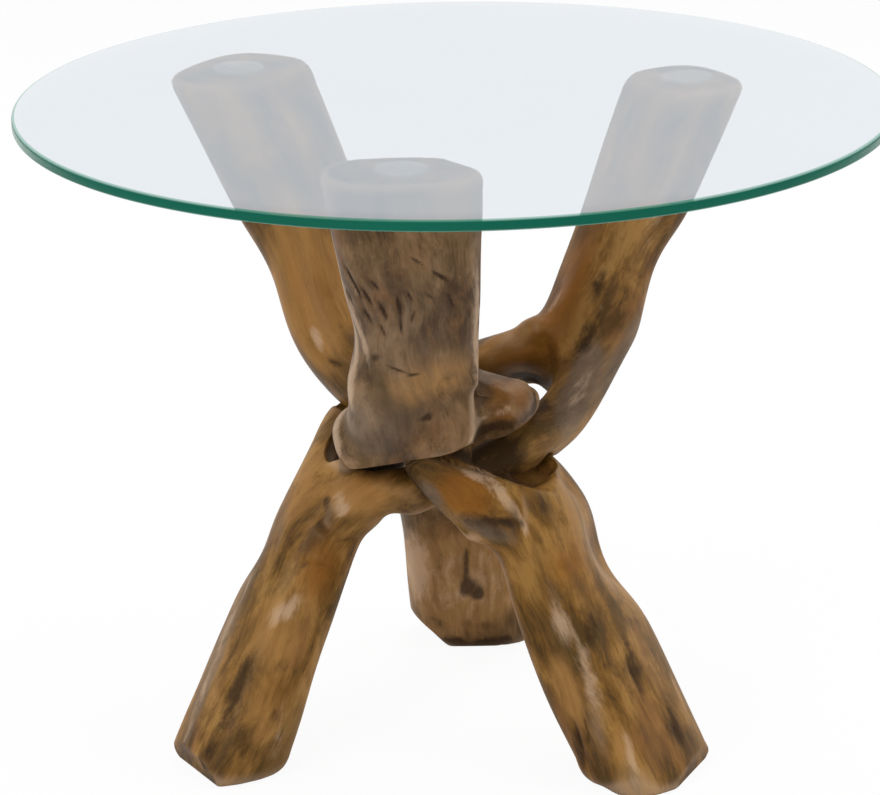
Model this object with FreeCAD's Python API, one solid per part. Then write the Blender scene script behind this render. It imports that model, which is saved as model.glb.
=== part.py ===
import FreeCAD, Part
import math
import os
from FreeCAD import Vector

# Low round table: a loose glass disc on three chain-linked legs. Each leg is carved from one
# piece of hardwood, with an eye through its middle that the next leg passes through.
# Frame: origin on the floor under the centre of the glass, x to the right, y away from the
# top of the front leg, z up. Lengths are in millimetres and angles in degrees.

# Whole table
table_height = 450.0
glass_diameter = 600.0
glass_thickness = 8.0
glass_edge_round = 2.0

# Clear bumpers on the leg tops, which keep the glass off the wood
bumper_diameter = 36.0
bumper_thickness = 2.5
bumper_edge_round = 0.8

# Knot: where the three eyes cross, and how a leg slopes and twists there
knot_x = -13.0
knot_y = 5.0
knot_height = 214.0
eye_rise = 18.0
eye_twist = 31.0

# Wood on each side of an eye, the waist that passes through the next eye, and the room for it
strand_width = 26.0
waist_depth = 28.0
link_clearance = 7.5
eye_end_room = 30.0
eye_flare = 4.0
eye_bulge = 6.0

# How far the left and right legs can close towards the front leg, and the room that each leg
# leaves around the leg that it passes through, as they stand and when they are closed
fold_angle = 5.0
relief = 1.0

# From the knot to the shoulders, where the wood around an eye joins the limbs of the leg
shoulder_reach = 92.0
limb_end_round = 6.0

# Each leg's direction, how far its eye rolls about the leg and sways in its own plane, the leg
# whose eye it passes through, the heading of its hinge at the knot, the places and sections of
# its two ends, and for each shoulder its section (width across the leg, depth along its
# slope), its shift off the eye's axis, the bow of the limb beyond it, and the extra wood on
# the two sides of the eye next to it
legs = {
    "front_leg": {
        "azimuth": 270.0, "roll": -14.0, "sway": 0.0, "passes_through": "right_leg", "hinge": None,
        "top": {"place": (-35.0, -142.0), "size": (112.0, 80.0)},
        "upper_shoulder": {
            "size": (82.0, 62.0), "shift": (-5.0, -1.0, 20.0), "bow": (-2.0, -6.0), "wood": (24.0, 24.0),
        },
        "lower_shoulder": {
            "size": (86.0, 60.0), "shift": (0.0, 0.0, 0.0), "bow": (4.0, 0.0), "wood": (0.0, 0.0),
        },
        "foot": {"place": (10.0, 176.0), "size": (96.0, 76.0)},
    },
    "right_leg": {
        "azimuth": 30.0, "roll": 0.0, "sway": 7.0, "passes_through": "left_leg", "hinge": 330.0,
        "top": {"place": (163.0, 96.0), "size": (90.0, 74.0)},
        "upper_shoulder": {
            "size": (68.0, 52.0), "shift": (2.0, -3.0, -8.0), "bow": (2.0, 4.0), "wood": (6.0, 0.0),
        },
        "lower_shoulder": {
            "size": (60.0, 52.0), "shift": (12.0, 0.0, 0.0), "bow": (-2.0, 0.0), "wood": (0.0, 0.0),
        },
        "foot": {"place": (-165.0, -84.0), "size": (82.0, 80.0)},
    },
    "left_leg": {
        "azimuth": 150.0, "roll": 0.0, "sway": 0.0, "passes_through": "front_leg", "hinge": 30.0,
        "top": {"place": (-152.0, 140.0), "size": (114.0, 86.0)},
        "upper_shoulder": {
            "size": (88.0, 58.0), "shift": (6.0, 0.0, 22.0), "bow": (8.0, 0.0), "wood": (0.0, 0.0),
        },
        "lower_shoulder": {
            "size": (100.0, 64.0), "shift": (-10.0, 0.0, -8.0), "bow": (-4.0, 0.0), "wood": (0.0, 0.0),
        },
        "foot": {"place": (128.0, -100.0), "size": (100.0, 84.0)},
    },
}

# Shape of the carving: control sections along the eye (shares of the shoulder reach, how full
# the leg still is at each, and how much of the extra wood runs on along the eye), along a limb
# (shares of its length, and how fast a section turns level) and through the eye (shares of
# half the depth), and the outline of a section
eye_steps = (0.68, 0.44, 0.18)
eye_fill = (1.0, 0.65, 0.0)
wood_kept = (0.0, 0.8)
limb_steps = (0.0, 0.3, 0.65)
limb_turn_start = 0.3
limb_turn_rate = 1.6
cutter_steps = (-1.4, -0.7, 0.0, 0.7, 1.4)
squareness = 2.8
section_points = 16

leg_top_height = table_height - glass_thickness - bumper_thickness
glass_underside = table_height - glass_thickness
knot = Vector(knot_x, knot_y, knot_height)
up = Vector(0, 0, 1)


def unit(vector):
    return Vector(vector) / vector.Length


def mix(first, second, share):
    return first * (1 - share) + second * share


def eye_frame(azimuth, roll=0.0, sway=0.0):
    """Directions at an eye: along the leg towards its top, across the eye, and through it."""
    angles = (azimuth, eye_rise, eye_twist + roll, sway)
    turn, rise, twist, sway = (math.radians(angle) for angle in angles)
    outward = Vector(math.cos(turn), math.sin(turn), 0)
    axis = outward * math.cos(rise) + up * math.sin(rise)
    tangent = up.cross(outward)
    spread = tangent * math.cos(twist) + axis.cross(tangent) * math.sin(twist)
    through = axis.cross(spread)
    swayed = axis * math.cos(sway) - spread * math.sin(sway)
    return swayed, tangent, through.cross(swayed), through


def strand_offset():
    """Distance of a strand's middle from the eye's axis that lets the next waist pass.

    The legs cross at a skew, so the two strands stand apart by less than twice this distance
    along the line that is square to both legs.
    """
    axis, _, spread, _ = eye_frame(0)
    passing_axis, _, passing_spread, _ = eye_frame(-120)
    square = unit(axis.cross(passing_axis))
    room = abs(spread.dot(square)) - abs(passing_spread.dot(square))
    return ((strand_width + waist_depth) / 2 + link_clearance) / room


eye_half_width = strand_offset() - strand_width / 2
ring_width = 2 * (eye_half_width + strand_width)
eye_half_length = ring_width / 2 + eye_end_room


def outline(centre, across, along, size):
    """Control points of one section: a superellipse, between an ellipse and a rectangle."""
    points = []
    for step in range(section_points):
        angle = 2 * math.pi * step / section_points
        turn = (math.cos(angle), math.sin(angle))
        wide, deep = (math.copysign(abs(part) ** (2 / squareness), part) for part in turn)
        points.append(centre + across * (wide * size[0] / 2) + along * (deep * size[1] / 2))
    return points


def limb_stations(shoulder, shoulder_size, end, bow, frame):
    """Sections from a shoulder to the level, rounded end of its limb."""
    _, tangent, spread, _ = frame
    end_centre, end_size = end
    stations = []
    for share in limb_steps:
        centre = mix(shoulder, end_centre, share) + bow * (4 * share * (1 - share))
        across = mix(spread, tangent, min(1.0, limb_turn_start + limb_turn_rate * share))
        size = [mix(first, last, share) for first, last in zip(shoulder_size, end_size)]
        stations.append((centre, across, size, False))
    run = unit(end_centre - shoulder)
    rim_start = end_centre - run * (2 * limb_end_round / abs(run.z))
    flat_size = [side - 2 * limb_end_round for side in end_size]
    stations.append((rim_start, tangent, end_size, True))
    stations.append((end_centre, tangent, end_size, True))
    stations.append((end_centre, tangent, flat_size, True))
    return stations


def eye_stations(side, shoulder, shift, frame):
    """Sections on one side of the knot, from the shoulder's end of the eye to the waist."""
    axis, _, spread, _ = frame
    outer, middle, inner = eye_steps
    stations = []
    for share, filled in zip(eye_steps, eye_fill):
        ease = max(0.0, (share - middle) / (1 - middle))
        near, far = (wood * max(filled, kept) for wood, kept in zip(shoulder["wood"], wood_kept))
        centre = knot + axis * (side * share * shoulder_reach) + shift * ease + spread * ((far - near) / 2)
        bulge = eye_bulge * (outer - share) / (outer - inner)
        depth = mix(waist_depth, shoulder["size"][1], filled)
        stations.append((centre, spread, (ring_width + bulge + near + far, depth), False))
    return stations


def skin(stations, swell):
    """Solid under one cubic surface whose rows of control points are the swollen sections."""
    rows = []
    for index, (centre, across, size, level) in enumerate(stations):
        before = stations[max(index - 1, 0)][0]
        after = stations[min(index + 1, len(stations) - 1)][0]
        run = up if level else unit(before - after)
        across = unit(across - run * across.dot(run))
        rows.append(outline(centre, across, run.cross(across), [side + 2 * swell for side in size]))
    spans = len(rows) - 3
    surface = Part.BSplineSurface()
    surface.buildFromPolesMultsKnots(
        rows,
        [4] + [1] * (spans - 1) + [4],
        [1] * (section_points + 1),
        [float(knot_value) for knot_value in range(spans + 1)],
        [float(knot_value) for knot_value in range(section_points + 1)],
        False, True, 3, 3,
    )
    faces = [surface.toShape()]
    for end in (0.0, float(spans)):
        faces.append(Part.Face(Part.Wire([surface.uIso(end).toShape()])))
    shell = Part.Shell(faces)
    shell.sewShape()
    body = Part.Solid(shell)
    if body.Volume < 0:
        body.reverse()
    return body


def eye_cutter(depth, swell, frame):
    """Hourglass of ellipses through the eye, wider towards both faces of the leg."""
    axis, _, spread, through = frame
    rings = []
    for share in cutter_steps:
        grow = eye_flare * share * share - swell
        centre = knot + through * (share * depth / 2)
        ellipse = Part.Ellipse(
            centre - axis * (eye_half_length + grow),
            centre + spread * (eye_half_width + grow),
            centre,
        )
        rings.append(Part.Wire([ellipse.toShape()]))
    return Part.makeLoft(rings, True, False)


def carve(leg, swell):
    """A leg with its eye, grown on all sides by the swell."""
    frame = eye_frame(leg["azimuth"], leg["roll"], leg["sway"])
    axis = frame[0]
    sides = []
    for side, end, end_height, shoulder in (
        (1, leg["top"], leg_top_height, leg["upper_shoulder"]),
        (-1, leg["foot"], 0, leg["lower_shoulder"]),
    ):
        shift = Vector(*shoulder["shift"])
        limb = limb_stations(
            knot + axis * (side * shoulder_reach) + shift,
            shoulder["size"],
            (Vector(*end["place"], end_height), end["size"]),
            Vector(*shoulder["bow"], 0),
            frame,
        )
        sides.append(limb[::-1] + eye_stations(side, shoulder, shift, frame))
    upper, lower = sides
    thickest = max(leg["upper_shoulder"]["size"][1], leg["lower_shoulder"]["size"][1])
    return skin(upper + lower[::-1], swell).cut(eye_cutter(thickest, swell, frame))


def turned(body, leg, angle):
    """A body turned with a leg about the knot, as the legs close; the front leg stays."""
    if leg["hinge"] is None:
        return body
    heading = math.radians(leg["hinge"])
    moved = body.copy()
    moved.rotate(knot, Vector(math.cos(heading), math.sin(heading), 0), angle)
    return moved


def make_leg(leg):
    """A leg, relieved where the leg that it passes through lies against it, open and closed."""
    holder = legs[leg["passes_through"]]
    room = carve(holder, relief)
    room_closed = turned(turned(room, holder, fold_angle), leg, -fold_angle)
    body = carve(leg, 0).cut(room).cut(room_closed)
    return max(body.Solids, key=lambda solid: solid.Volume)


def make_glass():
    glass = Part.makeCylinder(glass_diameter / 2, glass_thickness, up * glass_underside)
    rims = [edge for edge in glass.Edges if isinstance(edge.Curve, Part.Circle)]
    return glass.makeFillet(glass_edge_round, rims)


def make_bumper(leg):
    place = Vector(*leg["top"]["place"], leg_top_height)
    bumper = Part.makeCylinder(bumper_diameter / 2, bumper_thickness, place)
    upper_rim = [edge for edge in bumper.Edges if edge.BoundBox.ZMin > leg_top_height]
    return bumper.makeFillet(bumper_edge_round, upper_rim)


os.makedirs("parts", exist_ok=True)
make_glass().exportStep("parts/glass_top.step")
for name, leg in legs.items():
    make_leg(leg).exportStep("parts/" + name + ".step")
    make_bumper(leg).exportStep("parts/" + name.replace("leg", "bumper") + ".step")
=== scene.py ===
import math

import bmesh
import bpy
import numpy as np
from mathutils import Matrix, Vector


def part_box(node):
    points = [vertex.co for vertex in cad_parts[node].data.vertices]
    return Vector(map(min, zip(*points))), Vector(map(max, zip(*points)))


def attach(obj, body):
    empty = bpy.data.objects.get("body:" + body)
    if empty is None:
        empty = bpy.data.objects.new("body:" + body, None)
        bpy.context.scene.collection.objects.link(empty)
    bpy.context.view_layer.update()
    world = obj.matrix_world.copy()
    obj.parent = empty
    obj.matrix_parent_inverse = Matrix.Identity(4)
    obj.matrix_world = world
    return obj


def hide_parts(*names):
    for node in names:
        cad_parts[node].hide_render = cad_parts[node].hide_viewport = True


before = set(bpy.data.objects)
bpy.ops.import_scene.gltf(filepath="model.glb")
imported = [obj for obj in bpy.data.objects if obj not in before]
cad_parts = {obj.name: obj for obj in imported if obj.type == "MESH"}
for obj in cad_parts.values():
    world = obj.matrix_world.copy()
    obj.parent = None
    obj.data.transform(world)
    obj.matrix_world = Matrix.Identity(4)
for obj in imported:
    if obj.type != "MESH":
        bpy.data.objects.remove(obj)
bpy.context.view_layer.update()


# Front leg: one of three hewn and sanded hardwood limbs that share a knot at mid height. Each is cut from a
# single log with an eye through its middle, worked with gouges and then oiled to a satin.
# This one stands upright under the front of the glass, and its foot comes out at the back.
leg_voxel = 0.0019
leg_level_band = 0.0006
skin_passes, swell_passes, plane_passes, rub_passes, ridge_passes = 12, 12, 2, 30, 6
swell_steps = 4
# Gouge marks: cell size in metres, scale along the grain (under 1 draws them out), depth in millimetres.
gouge_marks = ((0.034, 0.6, 2.2), (0.013, 0.4, 0.7))
slit_depth = 1.6
end_margin, end_fade = 0.001, 0.012
ridge_height = 0.00012


def mesh_points(mesh):
    """Vertex positions of a mesh as rows of x, y, z."""
    flat = np.empty(len(mesh.vertices) * 3)
    mesh.vertices.foreach_get("co", flat)
    return flat.reshape(-1, 3)


def set_points(mesh, points):
    """Moves the vertices of a mesh to rows of x, y, z."""
    mesh.vertices.foreach_set("co", points.ravel())
    mesh.update()


def mesh_normals(mesh):
    """Outward direction at every vertex of a mesh, as rows of unit vectors."""
    flat = np.empty(len(mesh.vertices) * 3)
    mesh.vertex_normals.foreach_get("vector", flat)
    return flat.reshape(-1, 3)


def neighbour_mean(mesh, values):
    """Mean of the values at the vertices that share an edge with each vertex."""
    ends = np.empty(len(mesh.edges) * 2, dtype=int)
    mesh.edges.foreach_get("vertices", ends)
    first, second = ends.reshape(-1, 2).T
    count = len(mesh.vertices)
    number = np.bincount(ends, minlength=count)
    columns = [np.bincount(first, column[second], count) + np.bincount(second, column[first], count)
               for column in values.T]
    return np.stack(columns, axis=1) / number[:, None]


def relaxed(mesh, values, passes, share=1.0):
    """Rows of values at the vertices, moved in each pass half way to their neighbours' mean, or by a share
    of that."""
    for _ in range(passes):
        values = values + 0.5 * share * (neighbour_mean(mesh, values) - values)
    return values


def leg_blank(node):
    """A leg's solid with its triangles joined and skinned again by cubes of one size: an even, closed
    mesh."""
    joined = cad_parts[node].data.copy()
    work = bmesh.new()
    work.from_mesh(joined)
    bmesh.ops.remove_doubles(work, verts=work.verts, dist=1e-6)
    work.to_mesh(joined)
    work.free()
    piece = bpy.data.objects.new(node + "_wood", joined)
    bpy.context.scene.collection.objects.link(piece)
    skin = piece.modifiers.new("even_skin", "REMESH")
    skin.mode = "VOXEL"
    skin.voxel_size = leg_voxel
    even = bpy.data.meshes.new_from_object(piece.evaluated_get(bpy.context.evaluated_depsgraph_get()))
    piece.modifiers.clear()
    piece.data = even
    even.materials.clear()
    bpy.data.meshes.remove(joined)
    return piece


def lattice_noise(points, size, seed):
    """Smooth random field from 0 to 1: a random number at each corner of a cubic lattice of the given cell
    size, blended inside the cell with smoothsteps."""
    primes = np.array((73856093, 19349663, 83492791))
    cell = points / size
    corner_low = np.floor(cell).astype(np.int64)
    part = cell - corner_low
    part = part * part * (3 - 2 * part)
    field = np.zeros(len(points))
    for corner in np.ndindex(2, 2, 2):
        key = (corner_low + corner) @ primes + seed * 7919
        key = (key ^ (key >> 13)) * 1274126177 & 0x7FFFFFFF
        key = (key ^ (key >> 15)) % 10007 / 10006
        field += key * np.prod(np.where(corner, part, 1 - part), axis=1)
    return field


def stroke_shares(points, centre, axis, width, normals=None):
    """Share of one tool stroke at every point, from 0 to 1: a bell that fades over the length of its axis
    and over its width to the sides. With normals it is a mark in the skin: its axis is laid along the skin,
    and up to a skin's depth, what a point stands above or below the stroke's middle doesn't count. Lengths
    in millimetres."""
    skin_depth, least_way = 9, 0.2
    offset = points * 1000 - np.array(centre)
    way = np.broadcast_to(np.array(axis, dtype=float), offset.shape)
    length = np.linalg.norm(axis)
    if normals is not None:
        height = (offset * normals).sum(axis=1, keepdims=True)
        offset = offset - normals * np.clip(height, -skin_depth, skin_depth)
        way = way - normals * (way * normals).sum(axis=1, keepdims=True)
    way = way / np.maximum(np.linalg.norm(way, axis=1, keepdims=True), least_way * length)
    along = (offset * way).sum(axis=1)
    across = np.linalg.norm(offset - way * along[:, None], axis=1)
    return np.exp(-(along / length) ** 2 - (across / width) ** 2)


def stroke_sum(points, strokes, normals=None):
    """Sum of strokes, each given by its centre, axis, width and amount."""
    total = np.zeros(len(points))
    for *place, amount in strokes:
        total += stroke_shares(points, *place, normals) * amount
    return total


def planed(points, face, facing, *fences):
    """Skin that stands out of a plane face is moved back onto it, beyond the plane's fences. At each fence
    the plane fades in over a soft width. Lengths in millimetres."""
    facing = np.array(facing) / np.linalg.norm(facing)
    proud = np.clip((points * 1000 - np.array(face)) @ facing, 0, None)
    for fence, beyond, soft in fences:
        past = np.clip((points * 1000 - np.array(fence)) @ np.array(beyond, dtype=float) / soft, 0, 1)
        proud *= past * past * (3 - 2 * past)
    return points - facing * proud[:, None] / 1000


def drawn(points, pulls):
    """Skin drawn sideways by pulls, each given by its centre, axis, width and way. Where pulls overlap,
    their ways are averaged by their shares, so that no point goes further than the longest."""
    way, whole = np.zeros_like(points), np.zeros(len(points))
    for centre, axis, width, shift in pulls:
        share = stroke_shares(points, centre, axis, width)
        way += share[:, None] * np.array(shift) / 1000
        whole += share
    return points + way / np.maximum(whole, 1)[:, None]


def grain_places(points, line):
    """Place of every point in the log: its offset to the side and upwards from the leg's middle line, and
    how far along that line it lies. The line's stations are averaged with weights that fall as the eighth
    power of distance."""
    stations, nearest = 70, 1e-5
    line = np.array(line) / 1000
    lengths = np.concatenate(([0], np.cumsum(np.linalg.norm(np.diff(line, axis=0), axis=1))))
    runs = np.linspace(0, lengths[-1], stations)
    middle = np.stack([np.interp(runs, lengths, column) for column in line.T], axis=1)
    apart = ((points[:, None, :] - middle[None, :, :]) ** 2).sum(axis=2)
    weight = 1 / (apart + nearest) ** 4
    weight /= weight.sum(axis=1, keepdims=True)
    offset = points - weight @ middle
    chord = middle[-1] - middle[0]
    side = np.cross(chord, (0, 0, 1))
    side /= np.linalg.norm(side)
    lift = np.cross(side, chord / np.linalg.norm(chord))
    return np.stack((offset @ side, offset @ lift, weight @ runs), axis=1)


def hewn_leg(node, line, seed, swells, pulls, planes, softened, slits, paints):
    """A leg's blank after the hand tools. The even skin is relaxed towards its neighbours' mean, moved
    along its outward direction by the swells (hollows where negative), drawn sideways by the pulls, planed,
    rounded off by rubbing at the softened places, and lowered by slits and two sizes of soft gouge marks,
    which fade at both ends. Sole and top stay level. The strokes of colour are kept as one attribute for
    each kind of mark."""
    piece = leg_blank(node)
    mesh = piece.data
    points = mesh_points(mesh)
    low, high = points[:, 2].min(), points[:, 2].max()
    sole, top = points[:, 2] < low + leg_level_band, points[:, 2] > high - leg_level_band
    points = relaxed(mesh, points, skin_passes)
    move = relaxed(mesh, stroke_sum(points, swells)[:, None], swell_passes) / 1000
    for _ in range(swell_steps):
        set_points(mesh, points)
        points = points + mesh_normals(mesh) * (move / swell_steps)
    points = drawn(points, pulls)
    points[sole, 2] = low
    for plane in planes:
        points = planed(points, *plane)
    points[top, 2] = high
    points = relaxed(mesh, points, plane_passes)
    rubbing = np.clip(stroke_sum(points, softened), 0, 1)[:, None]
    points = relaxed(mesh, points, rub_passes, rubbing)
    set_points(mesh, points)
    grain = grain_places(points, line)
    normals = mesh_normals(mesh)
    slit = stroke_sum(points, slits, normals)
    sunk = slit * slit_depth
    for number, (cell, stretch, depth) in enumerate(gouge_marks):
        sunk += lattice_noise(grain * (1, 1, stretch), cell, seed + number) * depth
    from_end = np.minimum(points[:, 2] - low, high - points[:, 2])
    sunk *= np.clip((from_end - end_margin) / end_fade, 0, 1)
    points = points - normals * sunk[:, None] / 1000
    points[:, 2] = np.clip(points[:, 2], low, high)
    set_points(mesh, points)
    normals = mesh_normals(mesh)
    # How far each point stands out of its neighbours; the paint turns it into painted highlights on ridges
    # and painted shade in hollows.
    edge = ((points - neighbour_mean(mesh, points)) * normals).sum(axis=1, keepdims=True)
    marks = {kind: stroke_sum(points, strokes, normals) for kind, strokes in paints.items()}
    marks["slit"] = slit
    marks["ridge"] = relaxed(mesh, edge, ridge_passes)[:, 0] / ridge_height
    mesh.attributes.new("grain", "FLOAT_VECTOR", "POINT").data.foreach_set("vector", grain.ravel())
    for kind, values in marks.items():
        mesh.attributes.new(kind, "FLOAT", "POINT").data.foreach_set("value", np.clip(values, -1, 1))
    mesh.polygons.foreach_set("use_smooth", np.ones(len(mesh.polygons), dtype=bool))
    return piece


class Tone:
    """One socket in a material's nodes. Sums and products of tones add Math nodes; add() makes any other
    node."""

    def __init__(self, tree, socket=None):
        self.tree, self.socket = tree, socket

    def add(self, kind, settings=None, sockets=None, output=0):
        """A new node of a kind: its settings are set first, then its sockets get values or links."""
        node = self.tree.nodes.new("ShaderNode" + kind)
        for name, value in (settings or {}).items():
            if name == "stops":
                for place, colour in value[1:-1]:
                    node.color_ramp.elements.new(place).color = colour
                for end, (place, colour) in ((0, value[0]), (-1, value[-1])):
                    node.color_ramp.elements[end].position = place
                    node.color_ramp.elements[end].color = colour
            else:
                setattr(node, name, value)
        for name, value in (sockets or {}).items():
            if isinstance(value, Tone):
                self.tree.links.new(value.socket, node.inputs[name])
            else:
                node.inputs[name].default_value = value
        return Tone(self.tree, node.outputs[output] if len(node.outputs) else None)

    def math(self, operation, *values):
        """A Math node on tones or numbers."""
        return self.add("Math", {"operation": operation}, dict(enumerate(values)))

    def __add__(self, other):
        return self.math("ADD", self, other)

    def __radd__(self, other):
        return self.math("ADD", other, self)

    def __sub__(self, other):
        return self.math("SUBTRACT", self, other)

    def __rsub__(self, other):
        return self.math("SUBTRACT", other, self)

    def __mul__(self, other):
        return self.math("MULTIPLY", self, other)

    def __rmul__(self, other):
        return self.math("MULTIPLY", other, self)

    def steps(self, low, high):
        """Smoothly 0 below low and 1 above high."""
        return self.add("MapRange", {"interpolation_type": "SMOOTHSTEP"},
                        {"Value": self, "From Min": low, "From Max": high})

    def stain(self, over, colour):
        """This tone as the share of a colour that is laid over another."""
        return self.add("Mix", {"data_type": "RGBA"}, {0: self, 6: over, 7: colour}, 2)


def colour(red, green, blue):
    """A colour written as 0 to 255 on a screen, as linear light."""
    parts = np.array((red, green, blue)) / 255
    light = np.where(parts <= 0.04045, parts / 12.92, ((parts + 0.055) / 1.055) ** 2.4)
    return (*(float(part) for part in light), 1.0)


def new_finish(name):
    """An empty node material and the first tone of its nodes."""
    material = bpy.data.materials.new(name)
    material.use_nodes = True
    material.node_tree.nodes.clear()
    return material, Tone(material.node_tree)


def oiled_wood(name, dark, middle, light, shift):
    """Oiled hardwood. Patches and streaks drawn out along the grain choose between three browns, and larger
    patches turn them olive or rosy; the leg's own marks then lay lighter wood bared by sanding, in places
    painted light on shaded faces, amber, grey weathering, painted highlights, and dark stains, some of them
    painted shade, over them, each up to its cover. Ridges get a painted highlight and hollows painted
    shade.
    The streaks also lift the surface and change its gloss."""
    # Covers of the marks: the pale marks and the ridges are painted highlights, the hollows painted shade,
    # the dark marks partly painted shade and the lighter marks partly painted light.
    cover = {"olive": 0.5, "rosy": 0.45, "fresh": 0.85, "amber": 0.85, "weathered": 0.72, "worn": 0.56,
             "stain": 0.85, "ridge": 0.4, "painted_hollow_shade": 0.5, "slit": 0.85, "pores": 0.22}
    swirl_reach = (0.024, 0.024, 0.03)
    streak_stretch, patch_stretch = (1.0, 1.0, 0.11), (1.0, 1.0, 0.5)
    material, tone = new_finish(name)
    grain = tone.add("Attribute", {"attribute_name": "grain"}, output="Vector")
    moved = tone.add("VectorMath", {"operation": "ADD"}, {0: grain, 1: shift})
    swirl = tone.add("TexNoise", sockets={"Vector": moved, "Scale": 16.0, "Detail": 2.0}, output="Color")
    swirl = tone.add("VectorMath", {"operation": "SUBTRACT"}, {0: swirl, 1: (0.5, 0.5, 0.5)})
    wavy = tone.add("VectorMath", {"operation": "MULTIPLY_ADD"}, {0: swirl, 1: swirl_reach, 2: moved})
    along = tone.add("VectorMath", {"operation": "MULTIPLY"}, {0: wavy, 1: streak_stretch})
    patchy = tone.add("VectorMath", {"operation": "MULTIPLY"}, {0: wavy, 1: patch_stretch})
    patch = tone.add("TexNoise", sockets={"Vector": patchy, "Scale": 34.0, "Detail": 5.0,
                                          "Roughness": 0.62})
    cast = tone.add("TexNoise", sockets={"Vector": patchy, "Scale": 27.0, "Detail": 4.0, "Roughness": 0.6,
                                         "Distortion": 0.6})
    streak = tone.add("TexNoise", sockets={"Vector": along, "Scale": 120.0, "Detail": 6.0,
                                           "Roughness": 0.65})
    fibre = tone.add("TexNoise", sockets={"Vector": along, "Scale": 620.0, "Detail": 3.0, "Roughness": 0.6})
    ragged = tone.add("TexNoise", sockets={"Vector": patchy, "Scale": 95.0, "Detail": 5.0,
                                           "Roughness": 0.7})
    mark = {kind: tone.add("Attribute", {"attribute_name": kind}, output="Fac")
            for kind in ("fresh", "amber", "weathered", "worn", "stain", "ridge", "slit")}
    depth = patch * 0.76 + streak * 0.24 + (fibre - 0.5) * 0.16
    wood = tone.add("ValToRGB", {"stops": ((0.405, dark), (0.5, middle), (0.595, light))}, {0: depth})
    wood = (cast.steps(0.5, 0.64) * cover["olive"]).stain(wood, olive_wood)
    wood = (cast.steps(0.46, 0.34) * cover["rosy"]).stain(wood, rosy_wood)
    # Lighter wood bared by sanding; where a mark lies on a face in shade, it is painted light.
    sanded_and_painted_light_share = (mark["fresh"] * (0.4 + patch * 1.2)).steps(0.1, 0.9)
    wood = (sanded_and_painted_light_share * cover["fresh"]).stain(wood, (streak * 1.6 - 0.15).stain(middle, sanded_and_painted_light_wood))
    golden = (mark["amber"] * (0.45 + patch)).steps(0.1, 0.85)
    golden_wood = (streak * 1.6 - 0.3).stain(deep_amber_wood, amber_wood)
    wood = (golden * cover["amber"]).stain(wood, golden_wood)
    grey = (mark["weathered"] * (0.4 + ragged * 1.1)).steps(0.15, 0.9)
    grey_wood = (patch * 1.8 - 0.4).stain(dark_weathered_wood, weathered_wood)
    wood = (grey * cover["weathered"]).stain(wood, grey_wood)
    torn = (ragged - 0.5) * 1.8 + (streak - 0.5) * 1.6
    # Painted highlights: pale rims of light and glints, laid as marks in the pale colour.
    painted_highlight_share = (mark["worn"] + mark["worn"].steps(0.02, 0.35) * torn).steps(0.15, 0.95)
    wood = (painted_highlight_share * cover["worn"]).stain(wood, painted_highlight_wood)
    # Dark stains; where a mark lies in the knot, under a strand or beside another leg, it is painted shade.
    stain_and_painted_shade_share = (mark["stain"] * 1.1 + mark["stain"].steps(0.02, 0.35) * torn).steps(0.15, 0.95)
    wood = (stain_and_painted_shade_share * cover["stain"]).stain(wood, stain_and_painted_shade_wood)
    # Painted highlight along ridges, and below it painted shade in the hollows.
    ridge = (mark["ridge"] * (0.5 + ragged)).steps(0.15, 1.1)
    wood = (ridge * cover["ridge"]).stain(wood, painted_highlight_wood)
    painted_hollow_shade = (0 - mark["ridge"]).steps(0.1, 0.9)
    wood = (painted_hollow_shade * cover["painted_hollow_shade"]).stain(wood, stain_and_painted_shade_wood)
    wood = (mark["slit"].steps(0.2, 0.8) * cover["slit"]).stain(wood, stain_and_painted_shade_wood)
    pores = (streak * 0.4 + fibre * 0.6).steps(0.42, 0.34)
    wood = (pores * cover["pores"]).stain(wood, stain_and_painted_shade_wood)
    gloss = 0.34 + streak * 0.22 + grey * 0.14 - golden * 0.06 + stain_and_painted_shade_share * 0.15
    lift = streak * 0.6 + fibre * 0.35 + ragged * 0.5 - stain_and_painted_shade_share * 0.25
    relief = tone.add("Bump", sockets={"Strength": 0.35, "Distance": 0.0011, "Height": lift})
    shell = tone.add("BsdfPrincipled", sockets={"Base Color": wood, "Roughness": gloss, "Normal": relief,
                                                "Specular IOR Level": 0.14})
    tone.add("OutputMaterial", sockets={"Surface": shell})
    return material


# The pale colour is painted highlight; the dark colour serves real stains and painted shade; the light
# sanded colour also paints light onto shaded faces.
olive_wood = colour(80, 60, 26)
sanded_and_painted_light_wood = colour(180, 133, 76)
rosy_wood = colour(130, 88, 50)
amber_wood = colour(144, 90, 24)
deep_amber_wood = colour(104, 62, 12)
weathered_wood = colour(124, 108, 94)
dark_weathered_wood = colour(88, 74, 60)
stain_and_painted_shade_wood = colour(42, 25, 8)
painted_highlight_wood = colour(198, 168, 138)

# Middle line of the log from its top to its foot. This and all strokes below are in millimetres, and each
# stroke is a centre, an axis, a width and an amount.
front_leg_line = ((-35, -142, 440), (-30, -124, 370), (-25, -107, 320), (-10, -70, 262), (-13, 5, 214),
                  (-10, 75, 178), (-4, 115, 140), (2, 140, 85), (10, 176, 0))
# Swells and hollows: the flared stub below, a shallow waist above it, the hollow where a strand turns back.
front_leg_swells = (
    ((-64, -102, 276), (-4, 8, 26), 24, 13.0),
    ((-66, -86, 250), (-4, 4, 16), 18, 9.0),
    ((-74, -70, 218), (-6, 0, -10), 14, 4.0),
    ((-80, -62, 238), (0, 6, 15), 14, 8.0),
    ((-10, -92, 230), (22, 0, 4), 13, 8.0),
    ((-66, -128, 318), (0, 10, 22), 20, -2.0),
    ((16, -120, 318), (0, 8, 30), 14, -4.0),
    ((42, -38, 266), (16, 12, 0), 13, -9.0),
    ((54, -46, 252), (0, 14, 8), 11, -4.0),
)
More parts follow.
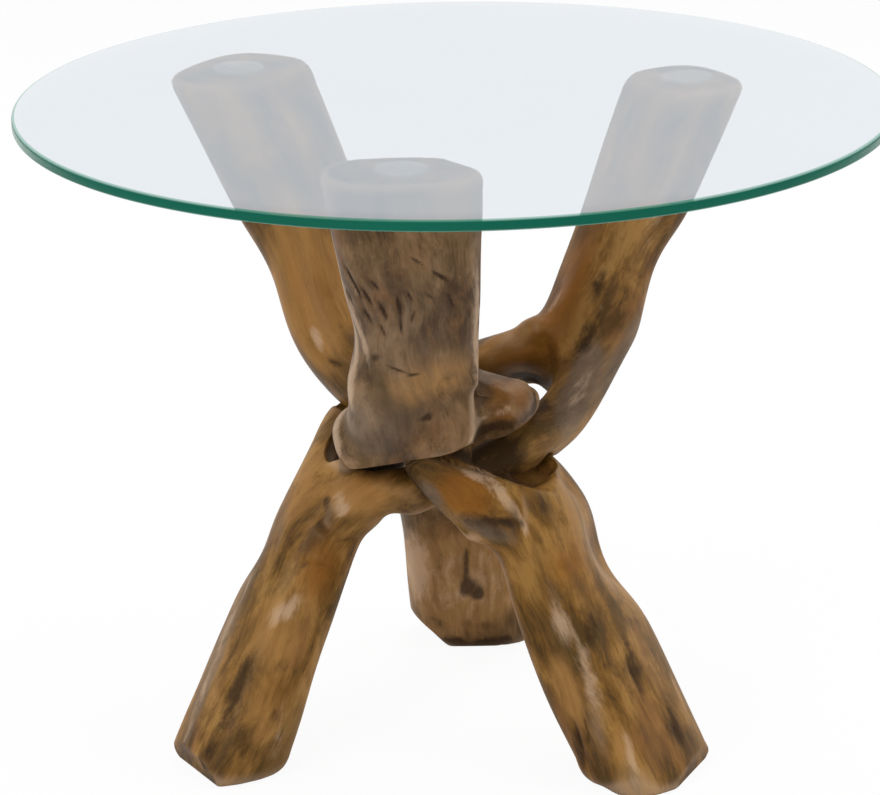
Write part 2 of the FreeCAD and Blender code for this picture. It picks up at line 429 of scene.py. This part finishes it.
# Planes: the trimmed back corner of the top, the flat right flank, the step beside the eye, the stub's end
# and the bevel of the foot.
rebate_fences = (((11, 0, 0), (1, 0, 0), 6), ((0, 0, 284), (0, 0, -1), 12), ((0, -20, 0), (0, -1, 0), 14))
front_leg_planes = (
    ((2, -125, 440), (0.755, 0.587, 0.205), ((0, 0, 350), (0, 0, 1), 60)),
    ((15.5, -90, 300), (1, 0, -0.04), ((0, 0, 266), (0, 0, 1), 7)),
    ((28, -80, 258), (0.22, -0.97, -0.05), *rebate_fences),
    ((28, -76, 262), (0.12, -0.75, 0.65), *rebate_fences),
    ((28, -76, 246), (0.15, -0.7, -0.68), *rebate_fences),
    ((-56, -88, 215.5), (0.19, -0.2, -0.96), ((0, -40, 0), (0, -1, 0), 15)),
    ((-24, 150, 13), (-0.69, -0.1, -0.72), ((0, 60, 90), (0, 0.6, -0.8), 30)),
)
front_leg_softened = (((34, -72, 252), (20, 4, 8), 16, 1.0), ((-16, -56, 281), (20, 4, 2), 8, 1.0),
                      ((26, -44, 269), (12, 4, 2), 7, 1.0))
# Slits left by the adze, in a loose rank across the front.
front_leg_slits = (
    ((-71, -150, 371), (3, 0, -8), 1.7, 1.0), ((-67, -152, 359), (2, 0, -7), 1.6, 0.9),
    ((-60, -153, 356), (4, 0, -9), 1.8, 1.0), ((-53, -154, 366), (4, 0, -6), 1.5, 0.8),
    ((-49, -152, 346), (3, 0, -9), 1.8, 1.0), ((-38, -155, 350), (1, 0, -10), 1.9, 1.0),
    ((-31, -156, 358), (3, 0, -6), 1.5, 0.8), ((-61, -148, 340), (3, 0, -8), 1.7, 0.9),
    ((-50, -147, 330), (2, 0, -8), 1.7, 0.8), ((-10, -157, 372), (7, 0, -6), 1.6, 1.0),
    ((-3, -152, 352), (4, 0, -9), 1.6, 0.8), ((-18, -155, 358), (5, 0, -5), 1.5, 0.7),
    ((-71, -140, 352), (1, 0, -8), 1.6, 0.9), ((-26, -158, 386), (6, 0, -5), 1.5, 0.7),
    ((-37, -148, 334), (1, 0, -9), 1.7, 0.8), ((-29, -150, 342), (-2, 0, -8), 1.5, 0.7),
    ((-40, -134, 300), (9, 0, -4), 1.6, 0.8), ((-29, -132, 296), (7, 0, 2), 1.5, 0.6),
    ((-14, -150, 344), (3, 0, -8), 1.4, 0.5), ((-44, -156, 376), (2, 0, -8), 1.4, 0.5),
)
# Painted light among these marks: the pale strokes are painted highlights on the rims of the block, the
# stub and the toe, and with the broad lighter stroke they paint light over the whole back foot; the dark
# stroke at the stub's end is a painted shadow of the right leg.
front_leg_paints = {
    "stain": (((-55, -134, 308), (4, 0, 3), 4, 0.7), ((-22, -114, 260), (4, 0, 3), 4, 0.7),
              ((4, 106, 80), (-2, 9, -23), 3.5, 0.8), ((7, 116, 57), (2, 3, -9), 7, 0.8),
              ((13, 118, 50), (4, 1, -1), 6, 0.75), ((-17, 133, 24), (9, 3, -13), 5, 0.5),
              ((12, 132, 22), (16, 2, -2), 7, 0.5), ((8, 138, 4), (48, 0, 0), 6, 0.9),
              ((-60, -140, 395), (14, 0, 26), 16, 0.4), ((-40, -152, 350), (26, 0, 8), 20, 0.35),
              ((24, -74, 234), (20, 0, 4), 9, 1.0), ((-10, -124, 285), (6, 0, 22), 6, 0.4),
              ((54, -46, 252), (2, 18, 14), 9, 1.1)),
    "worn": (((15, -114, 304), (2, -36, 70), 7, 1.4), ((12, -88, 250), (0, 2, 20), 4, 0.9),
             ((-68, -134, 330), (6, 4, 40), 5, 0.8), ((-82, -66, 236), (-4, 4, 22), 6, 0.9),
             ((30, -80, 252), (8, 0, 5), 6, 0.6), ((-76, -126, 352), (9, 14, -44), 5, 1.3),
             ((-70, -108, 286), (-3, 6, -26), 4.5, 1.1), ((0, 114, 60), (0, 16, -50), 50, 0.42),
             ((-34, 117, 70), (-1, 15, -28), 8, 1.0)),
    "fresh": (((0, 114, 60), (0, 16, -50), 50, 1.3), ((-20, -124, 292), (28, 0, 14), 18, 1.0)),
    "amber": (((-30, -108, 246), (34, 0, 10), 20, 0.4), ((36, -66, 262), (20, 10, 0), 18, 0.75),
              ((-32, -145, 385), (14, 0, 30), 18, 0.4), ((4, 104, 120), (50, 0, 24), 20, 0.4)),
    "weathered": (((-35, -140, 330), (0, -24, 100), 60, 0.5), ((-60, -100, 240), (20, 0, 30), 26, 0.6)),
}
front_leg = hewn_leg("front_leg", front_leg_line, seed=11, swells=front_leg_swells, pulls=(),
                     planes=front_leg_planes, softened=front_leg_softened, slits=front_leg_slits,
                     paints=front_leg_paints)
front_leg.data.materials.append(oiled_wood("front_leg_oiled_wood", dark=colour(66, 46, 24),
                                           middle=colour(102, 76, 48), light=colour(134, 104, 72),
                                           shift=(0.0, 0.0, 0.0)))
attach(front_leg, "front_leg")
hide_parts("front_leg")


# Right leg: the second limb, which leans from the front left foot through the knot to the back right of the
# glass. Its inner sides were hollowed with a gouge and show warm heartwood; the outer sides are greyer.
right_leg_line = ((163, 96, 440), (134, 80, 370), (113, 67, 320), (85, 50, 265), (-13, 5, 214),
                  (-97, -40, 160), (-120, -54, 110), (-141, -68, 60), (-165, -84, 0))
# Swells and hollows: the waist below the glass, the foot's outer hollow, the cheeks round the eye.
right_leg_swells = (
    ((134, 52, 322), (14, 8, 28), 26, -10.0),
    ((-130, -30, 128), (-14, -8, 24), 18, -5.0),
    ((120, 30, 276), (6, 6, 16), 16, 4.0),
    ((80, 40, 300), (10, 4, 24), 12, 3.0),
    ((-84, -66, 184), (14, 0, 8), 10, 3.0),
    ((-78, -44, 206), (4, 8, 6), 10, 5.0),
    ((-85, -4, 202), (0, 8, 8), 9, 8.0),
    ((46, 50, 256), (10, 4, 4), 10, 6.0),
    ((-60, -50, 168), (12, 4, -8), 13, 7.0),
)
# Pulls: the upper strand lifted clear of the left leg, and the eye's lips.
right_leg_pulls = (
    ((50, 40, 258), (30, 8, 4), 22, (0, -2, 22)),
    ((42, 40, 243), (28, 6, 0), 12, (0, -14, 2)),
    ((54, 60, 226), (14, 4, 0), 10, (0, 0, 8)),
    ((68, 0, 200), (4, 12, 2), 12, (-6, -2, -3)),
    ((-80, -46, 203), (9, 4, 0), 9, (0, 0, 6)),
)
right_leg_planes = (
    ((-170, -118, 0), (-0.80, -0.42, -0.43), ((0, 0, 60), (0, 0, -1), 40)),
)
right_leg_softened = (((34, 44, 266), (20, 4, 4), 14, 1.0), ((66, -4, 200), (8, 10, 4), 10, 1.0))
right_leg_slits = (
    ((-94, -67, 167), (5, -1, -6), 2.0, 0.5), ((-78, -60, 157), (9, 8, -1), 2.0, 0.5),
    ((-96, -72, 143), (9, 4, -4), 2.0, 0.45), ((-95, -66, 175), (-2, -2, -6), 2.0, 0.45),
    ((89, 18, 273), (-9, -3, -14), 2.5, 0.4), ((-157, -108, 60), (-8, -5, -22), 2.6, 0.3),
)
# Painted light among these marks: the pale strokes are painted highlights and rims of light; the lighter
# stroke on the upper strand paints light on it; the dark strokes under the upper strand, in the knot behind
# the left leg's strand and beside the front leg's stub are painted shade.
right_leg_paints = {
    "stain": (((89, 18, 273), (-9, -3, -16), 7, 0.75), ((98, 29, 308), (-6, -3, -12), 8, 0.55),
              ((-148, -98, 77), (-5, -4, -14), 8, 0.75), ((-158, -107, 51), (-6, -6, -16), 9, 0.75),
              ((-171, -112, 21), (-5, 1, -14), 8, 0.65), ((-124, -97, 79), (-6, -3, -6), 6, 0.45),
              ((-128, -104, 44), (-2, -2, -6), 5, 0.45), ((-90, -64, 182), (1, -4, -7), 3.5, 0.7),
              ((-108, -76, 145), (2, -1, -4), 5, 0.5), ((50, 52, 234), (22, 6, 0), 10, 1.0),
              ((22, -19, 211), (22, 0, 4), 18, 1.0), ((16, -24, 202), (20, 0, 0), 10, 0.9),
              ((-79, -10, 210), (2, 10, 14), 7, 1.0), ((-58, -46, 203), (26, 0, 0), 7, 1.0),
              ((56, -2, 231), (4, 7, -5), 8, 1.1)),
    "worn": (((-81, -64, 184), (0, -2, -7), 5, 1.0), ((-120, -87, 115), (11, 3, 8), 7, 1.0),
             ((-157, -61, 108), (45, 38, 106), 6, 0.55), ((101, 23, 295), (-1, -1, -4), 4, 0.5),
             ((66, 48, 300), (-6, -4, -20), 5, 0.5), ((-134, -96, 30), (-10, -6, -28), 7, 0.4),
             ((138, 52, 360), (16, 8, 40), 7, 0.4), ((84, 4, 236), (-9, -9, -22), 9, 0.45)),
    "fresh": (((-126, -90, 100), (-12, -8, -28), 22, 0.7), ((30, 30, 262), (24, 4, 4), 14, 1.0),
              ((-65, -57, 186), (30, 0, 0), 14, 1.1), ((-140, -100, 40), (-8, -6, -22), 12, 0.5),
              ((112, 20, 262), (-14, -10, -22), 10, 0.5)),
    "amber": (((78, 46, 306), (-14, -16, -46), 20, 1.0), ((38, 34, 256), (30, 6, 6), 16, 0.6),
              ((-65, -57, 191), (-26, 0, 0), 16, 0.45), ((-95, -74, 140), (-6, -5, -26), 18, 0.8),
              ((-130, -92, 60), (-10, -8, -30), 16, 0.4)),
    "weathered": (((82, 2, 230), (-9, -9, -20), 13, 1.6), ((91, 12, 256), (-4, -6, -18), 10, 1.2),
                  ((114, 29, 258), (-14, -8, -28), 11, 1.4), ((-156, -62, 108), (45, 38, 106), 10, 0.8),
                  ((-123, -55, 161), (-6, -12, -19), 7, 0.5), ((-175, -74, 64), (-14, -10, -33), 8, 0.7)),
}
right_leg = hewn_leg("right_leg", right_leg_line, seed=31, swells=right_leg_swells, pulls=right_leg_pulls,
                     planes=right_leg_planes, softened=right_leg_softened, slits=right_leg_slits,
                     paints=right_leg_paints)
right_leg.data.materials.append(oiled_wood("right_leg_oiled_wood", dark=colour(78, 53, 18),
                                           middle=colour(124, 88, 40), light=colour(158, 118, 64),
                                           shift=(0.31, 0.17, 0.4)))
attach(right_leg, "right_leg")
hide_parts("right_leg")


# Left leg: the third and stoutest limb, from the front right foot to the back left of the glass. It passes
# through the eye of the front leg, and a flat bevel was cut where its front strand crosses over.
left_leg_line = ((-152, 140, 440), (-119, 105, 370), (-100, 79, 320), (-75, 45, 262), (-13, 5, 214),
                 (40, -20, 180), (59, -38, 160), (79, -62, 110), (100, -79, 60), (128, -100, 0))
# Swells and hollows: the shoulder, the waist below the glass, the side of the strand, the foot's ridge.
left_leg_swells = (
    ((112, -46, 146), (14, -10, 36), 26, -13.0),
    ((-132, 52, 316), (-12, 12, 30), 26, -6.0),
    ((80, -30, 190), (9, 10, 14), 14, -7.0),
    ((66, -112, 114), (8, -6, -30), 10, 3.0),
    ((92, -132, 50), (10, -8, -40), 9, 5.0),
    ((116, -148, 6), (14, -4, 0), 16, 8.0),
)
# Pulls: the crossing strand's tip drawn to the left in three steps.
left_leg_pulls = (
    ((2, -62, 203), (10, 0, -10), 18, (-40, -12, 7)),
    ((10, -68, 188), (10, 0, -14), 18, (-27, -10, -4)),
    ((18, -74, 172), (8, 0, -14), 16, (-15, -6, -6)),
)
# Planes: the bevel of the foot, the strand's flat face and its upper side.
left_leg_planes = (
    ((141, -147, 0), (0.88, -0.36, -0.30), ((0, 0, 60), (0, 0, -1), 40)),
    ((10, -75, 192), (-0.2, -0.97, 0.1), ((44, 0, 0), (-1, 0, 0), 8), ((0, 0, 156), (0, 0, 1), 20)),
    ((30, -60, 200), (0.3, 0.3, 0.9), ((-40, 0, 0), (1, 0, 0), 14), ((74, 0, 0), (-1, 0, 0), 18),
     ((0, -30, 0), (0, -1, 0), 10)),
)
left_leg_softened = (((64, -38, 200), (8, 8, 6), 10, 1.0), ((-14, -35, 233), (26, 2, 4), 9, 1.0))
left_leg_slits = (
    ((78, -124, 32), (4, -3, -16), 2.2, 0.8), ((84, -128, 42), (3, -3, -14), 1.8, 0.6),
    ((118, -114, 76), (5, -4, -14), 2.4, 0.6), ((146, -114, 34), (4, -3, -12), 2.2, 0.6),
    ((-85, -3, 266), (7, -5, -2), 2.0, 0.6), ((29, -81, 175), (12, -4, -1), 2.0, 0.6),
)
# The pale strokes are painted highlights, on the bevel of the crossing strand, the shoulder, the upper limb
# and the foot. Two dark strokes by the knot darken the strand where it runs under the front leg.
left_leg_paints = {
    "stain": (((116, -110, 77), (5, -11, -18), 10, 0.85), ((146, -112, 34), (10, -2, -16), 13, 0.85),
              ((86, -112, 110), (5, -4, -14), 8, 0.7), ((79, -120, 24), (6, -2, -21), 5, 0.8),
              ((29, -81, 175), (12, -4, -1), 4, 0.8), ((53, -84, 186), (5, -4, -10), 9, 0.6),
              ((-85, -3, 266), (7, -5, -2), 3, 0.6), ((102, -88, 118), (7, 0, -9), 6, 0.4),
              ((40, -48, 200), (26, 10, 0), 8, 0.8), ((2, -43, 210), (9, 0, -5), 7, 1.0),
              ((14, -79, 172), (22, -7, -8), 6, 0.45)),
    "worn": (((66, -111, 115), (3, -3, -12), 6, 0.9), ((84, -124, 84), (8, -8, -26), 6, 0.8),
             ((114, -143, 28), (3, -9, -18), 5, 0.7), ((10, -72, 207), (11, -3, -5), 3.5, 0.9),
             ((29, -78, 192), (8, -3, -10), 5, 0.9), ((43, -85, 175), (5, -5, -7), 4, 0.8),
             ((-97, 10, 278), (4, -3, -8), 4, 0.8), ((150, -84, 46), (8, -9, -19), 5, 0.4)),
    "fresh": (((72, -118, 66), (8, -6, -22), 10, 1.5), ((-108, 28, 318), (-14, 16, 46), 30, 1.4),
              ((-97, 6, 272), (10, -6, -10), 12, 0.5), ((110, -138, 36), (6, -8, -24), 10, 0.5),
              ((150, -84, 46), (8, -9, -19), 6, 0.6)),
    "amber": (((4, -72, 193), (17, -4, -8), 14, 1.5), ((-100, 22, 308), (-20, 26, 60), 34, 0.4),
              ((72, -118, 64), (7, -5, -16), 6, 0.15), ((71, -94, 147), (14, 3, -5), 16, 0.6)),
    "weathered": (((-19, -68, 191), (9, -3, -11), 6, 1.0), ((16, -80, 170), (24, -8, -7), 6, 0.9),
                  ((-123, 39, 314), (10, -15, -25), 6, 0.5), ((126, -90, 90), (20, -14, -60), 26, 0.4)),
}
left_leg = hewn_leg("left_leg", left_leg_line, seed=57, swells=left_leg_swells, pulls=left_leg_pulls,
                    planes=left_leg_planes, softened=left_leg_softened, slits=left_leg_slits,
                    paints=left_leg_paints)
left_leg.data.materials.append(oiled_wood("left_leg_oiled_wood", dark=colour(78, 54, 18),
                                          middle=colour(119, 83, 34), light=colour(152, 112, 56),
                                          shift=(0.67, 0.41, 0.9)))
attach(left_leg, "left_leg")
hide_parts("left_leg")


# Bumpers: a clear soft pad on each leg's top, which keeps the glass from sliding and off the wood.
# Each is cast in one piece with a rounded upper rim, and stays put by its own grip.
def clear_rubber(name):
    """Clear cast rubber: nearly colourless, a little cloudy where small bubbles gather."""
    material, tone = new_finish(name)
    place = tone.add("TexCoord", output="Object")
    cloud = tone.add("TexNoise", sockets={"Vector": place, "Scale": 220.0, "Detail": 3.0})
    tint = cloud.stain(colour(226, 232, 232), colour(240, 244, 243))
    shell = tone.add("BsdfPrincipled", sockets={"Base Color": tint, "Roughness": 0.16 + cloud * 0.14,
                                                "Alpha": 0.22 + cloud * 0.14, "IOR": 1.42})
    tone.add("OutputMaterial", sockets={"Surface": shell})
    return material


bumper_finish = clear_rubber("clear_rubber")
for node in ("front_bumper", "right_bumper", "left_bumper"):
    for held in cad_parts[node].material_slots:
        held.material = bumper_finish


# Glass top: a round plate of float glass with a ground and polished edge, laid loose on the three bumpers.
# The faces look clear from above and pale, a painted reflection, where seen at a slant; the edge shows the
# glass's green.
glass_low, glass_high = (np.array(corner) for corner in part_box("glass_top"))
glass_middle = (glass_low + glass_high) / 2
glass_radius = float(glass_high[0] - glass_low[0]) / 2
glass_edge_round = 0.002
glass_turns = 288


def turned_plate(name, middle, radius, low, high, edge_round, turns):
    """A round plate: a profile from the middle of its underside, round its edge with two quarter circles,
    to the middle of its upper face, carried once round the upright axis. The faces belong to three bands:
    underside, edge and upper face."""
    quarter = np.linspace(0, math.pi / 2, 6)
    inner = radius - edge_round
    face_rings = np.array((0.02, 0.08, 0.16, 0.23, 0.28)) / 0.3 * radius
    face_count = len(face_rings)
    reach = np.concatenate((face_rings, inner + edge_round * np.sin(quarter),
                            inner + edge_round * np.cos(quarter), face_rings[::-1]))
    height = np.concatenate((np.full(face_count, low), low + edge_round * (1 - np.cos(quarter)),
                             high - edge_round * (1 - np.sin(quarter)), np.full(face_count, high)))
    turn = np.linspace(0, 2 * math.pi, turns, endpoint=False)
    grid = np.stack((middle[0] + reach[:, None] * np.cos(turn), middle[1] + reach[:, None] * np.sin(turn),
                     np.broadcast_to(height[:, None], (len(height), turns))), axis=2)
    poles = ((middle[0], middle[1], low), (middle[0], middle[1], high))
    points = np.concatenate((grid.reshape(-1, 3), poles))
    ring, step = np.meshgrid(np.arange(len(reach) - 1), np.arange(turns), indexing="ij")
    after = (step + 1) % turns
    quads = np.stack((ring * turns + step, ring * turns + after, (ring + 1) * turns + after,
                      (ring + 1) * turns + step), axis=2).reshape(-1, 4)
    last = (len(reach) - 1) * turns
    fan = np.arange(turns)
    under = np.stack((np.full(turns, len(points) - 2), (fan + 1) % turns, fan), axis=1)
    upper = np.stack((np.full(turns, len(points) - 1), last + fan, last + (fan + 1) % turns), axis=1)
    mesh = bpy.data.meshes.new(name)
    mesh.from_pydata(points.tolist(), [], quads.tolist() + under.tolist() + upper.tolist())
    band_starts = (face_count, face_count + 2 * len(quarter) - 1)
    bands = np.concatenate((np.repeat(np.digitize(np.arange(len(reach) - 1), band_starts), turns),
                            np.zeros(turns, dtype=int), np.full(turns, 2)))
    mesh.polygons.foreach_set("material_index", bands.astype(np.int32))
    mesh.polygons.foreach_set("use_smooth", np.ones(len(bands), dtype=bool))
    mesh.update()
    piece = bpy.data.objects.new(name, mesh)
    bpy.context.scene.collection.objects.link(piece)
    return piece


def glass_face(name, straight, slanted):
    """Clear float glass with faint waves left by the float. Its pale body goes from one opacity, seen
    straight on, to another, seen at a slant; seen straight on it is the glass's faint tint, at a slant a
    painted reflection of the white surround."""
    material, tone = new_finish(name)
    slant = tone.add("LayerWeight", sockets={"Blend": 0.5}, output="Facing")
    place = tone.add("TexCoord", output="Object")
    wave = tone.add("TexNoise", sockets={"Vector": place, "Scale": 9.0, "Detail": 1.0})
    relief = tone.add("Bump", sockets={"Strength": 0.02, "Distance": 0.001, "Height": wave})
    tint = wave.stain(colour(190, 201, 211), colour(195, 205, 214))
    body = straight + slant * (slanted - straight)
    shell = tone.add("BsdfPrincipled", sockets={"Base Color": tint, "Roughness": 0.03, "Normal": relief,
                                                "Alpha": body, "IOR": 1.52})
    tone.add("OutputMaterial", sockets={"Surface": shell})
    return material


def glass_edge(name):
    """The polished edge: the depth of glass seen through it is a deep bluish green, clearer at its corners.
    Seen from inside the plate it lets everything through."""
    material, tone = new_finish(name)
    place = tone.add("TexCoord", output="Object")
    long_waves = tone.add("TexNoise", sockets={"Vector": place, "Scale": 7.0, "Detail": 2.0})
    upright = tone.add("SeparateXYZ", sockets={0: place}, output=2)
    above = (upright - float(glass_middle[2])) * (2 / float(glass_high[2] - glass_low[2]))
    rim = above.math("ABSOLUTE", above).steps(0.62, 1.0)
    green = long_waves.stain(colour(2, 84, 66), colour(6, 108, 86))
    green = (rim * 0.55).stain(green, colour(120, 196, 178))
    shell = tone.add("BsdfPrincipled", sockets={"Base Color": green, "Roughness": 0.2, "IOR": 1.52,
                                                "Specular IOR Level": 0.12, "Alpha": 1.0 - rim * 0.3})
    clear = tone.add("BsdfTransparent")
    inside = tone.add("NewGeometry", output="Backfacing")
    shell = tone.add("MixShader", sockets={0: inside, 1: shell, 2: clear})
    tone.add("OutputMaterial", sockets={"Surface": shell})
    return material


glass_top = turned_plate("glass_plate", glass_middle, glass_radius, float(glass_low[2]),
                         float(glass_high[2]), glass_edge_round, glass_turns)
glass_top.data.materials.append(glass_face("glass_underside", straight=0.03, slanted=0.06))
glass_top.data.materials.append(glass_edge("glass_polished_edge"))
glass_top.data.materials.append(glass_face("glass_upper_face", straight=0.07, slanted=0.76))
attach(glass_top, "glass_top")
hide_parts("glass_top")


# Studio: a plain white floor that keeps a faint shadow of the table, a white surround, and large soft lamps
# above and to the sides. Two rim lamps behind the table don't show in the glass. The camera stands in front
# and looks a little down.
floor_half = 6.0
floor_level = -0.0005
floor_glow_share = 0.93
floor_corners = [(floor_half * x, floor_half * y, floor_level)
                 for x, y in ((-1, -1), (1, -1), (1, 1), (-1, 1))]
floor_mesh = bpy.data.meshes.new("studio_floor")
floor_mesh.from_pydata(floor_corners, [], [(0, 1, 2, 3)])
floor = bpy.data.objects.new("studio_floor", floor_mesh)
bpy.context.scene.collection.objects.link(floor)
floor_finish, floor_tone = new_finish("studio_floor_white")
floor_seen = floor_tone.add("LightPath", output="Is Camera Ray")
floor_paint = floor_tone.add("BsdfDiffuse", sockets={"Color": (0.86, 0.86, 0.86, 1.0)})
floor_glow = floor_tone.add("Emission", sockets={"Color": (1.0, 1.0, 1.0, 1.0), "Strength": 1.0})
floor_mixed = floor_tone.add("MixShader", sockets={0: floor_seen * floor_glow_share, 1: floor_paint,
                                                   2: floor_glow})
floor_tone.add("OutputMaterial", sockets={"Surface": floor_mixed})
floor_mesh.materials.append(floor_finish)

studio_light = 0.45
world = bpy.data.worlds.new("studio_white")
world.use_nodes = True
world.node_tree.nodes.clear()
world_tone = Tone(world.node_tree)
seen = world_tone.add("LightPath", output="Is Camera Ray")
for way in ("Is Glossy Ray", "Is Transmission Ray"):
    seen = seen.math("MAXIMUM", seen, world_tone.add("LightPath", output=way))
surround = world_tone.add("Background", sockets={"Color": (1.0, 1.0, 1.0, 1.0),
                                                 "Strength": studio_light + seen * (1.0 - studio_light)})
world_tone.add("OutputWorld", sockets={"Surface": surround})
bpy.context.scene.world = world

lamp_aim = (0.0, 0.0, 0.22)
lamps = (
    ("key_lamp", (-1.5, -2.0, 2.1), 1.5, 34.0),
    ("side_lamp", (2.1, -0.9, 1.5), 1.3, 15.0),
    ("top_lamp", (0.2, 0.6, 2.6), 1.6, 18.0),
    ("left_rim_lamp", (-1.7, 1.5, 0.8), 1.0, 18.0),
    ("right_rim_lamp", (1.7, 1.5, 0.8), 1.0, 18.0),
)
for lamp_name, spot, size, power in lamps:
    lamp = bpy.data.lights.new(lamp_name, "AREA")
    lamp.size = size
    lamp.energy = power
    holder = bpy.data.objects.new(lamp_name, lamp)
    holder.location = spot
    holder.visible_glossy = not lamp_name.endswith("rim_lamp")
    aim = np.array(lamp_aim) - np.array(spot)
    lamp_tilt = math.acos(-aim[2] / np.linalg.norm(aim))
    lamp_turn = math.atan2(aim[1], aim[0]) - math.pi / 2
    holder.rotation_euler = (lamp_tilt, 0.0, lamp_turn)
    bpy.context.scene.collection.objects.link(holder)

camera = bpy.data.cameras.new("camera")
camera.sensor_width = 36.0
camera.lens = 197.6
camera.shift_x = -0.0239
camera.shift_y = 0.0028
camera_stand = bpy.data.objects.new("camera", camera)
half_tilt, half_roll = math.radians(72.22) / 2, math.radians(-0.81) / 2
camera_stand.rotation_mode = "QUATERNION"
camera_stand.rotation_quaternion = (math.cos(half_tilt) * math.cos(half_roll),
                                    math.sin(half_tilt) * math.cos(half_roll),
                                    -math.sin(half_tilt) * math.sin(half_roll),
                                    math.cos(half_tilt) * math.sin(half_roll))
camera_stand.location = (0.002, -3.188, 1.259)
bpy.context.scene.collection.objects.link(camera_stand)
bpy.context.scene.camera = camera_stand
bpy.context.scene.view_settings.view_transform = "Standard"
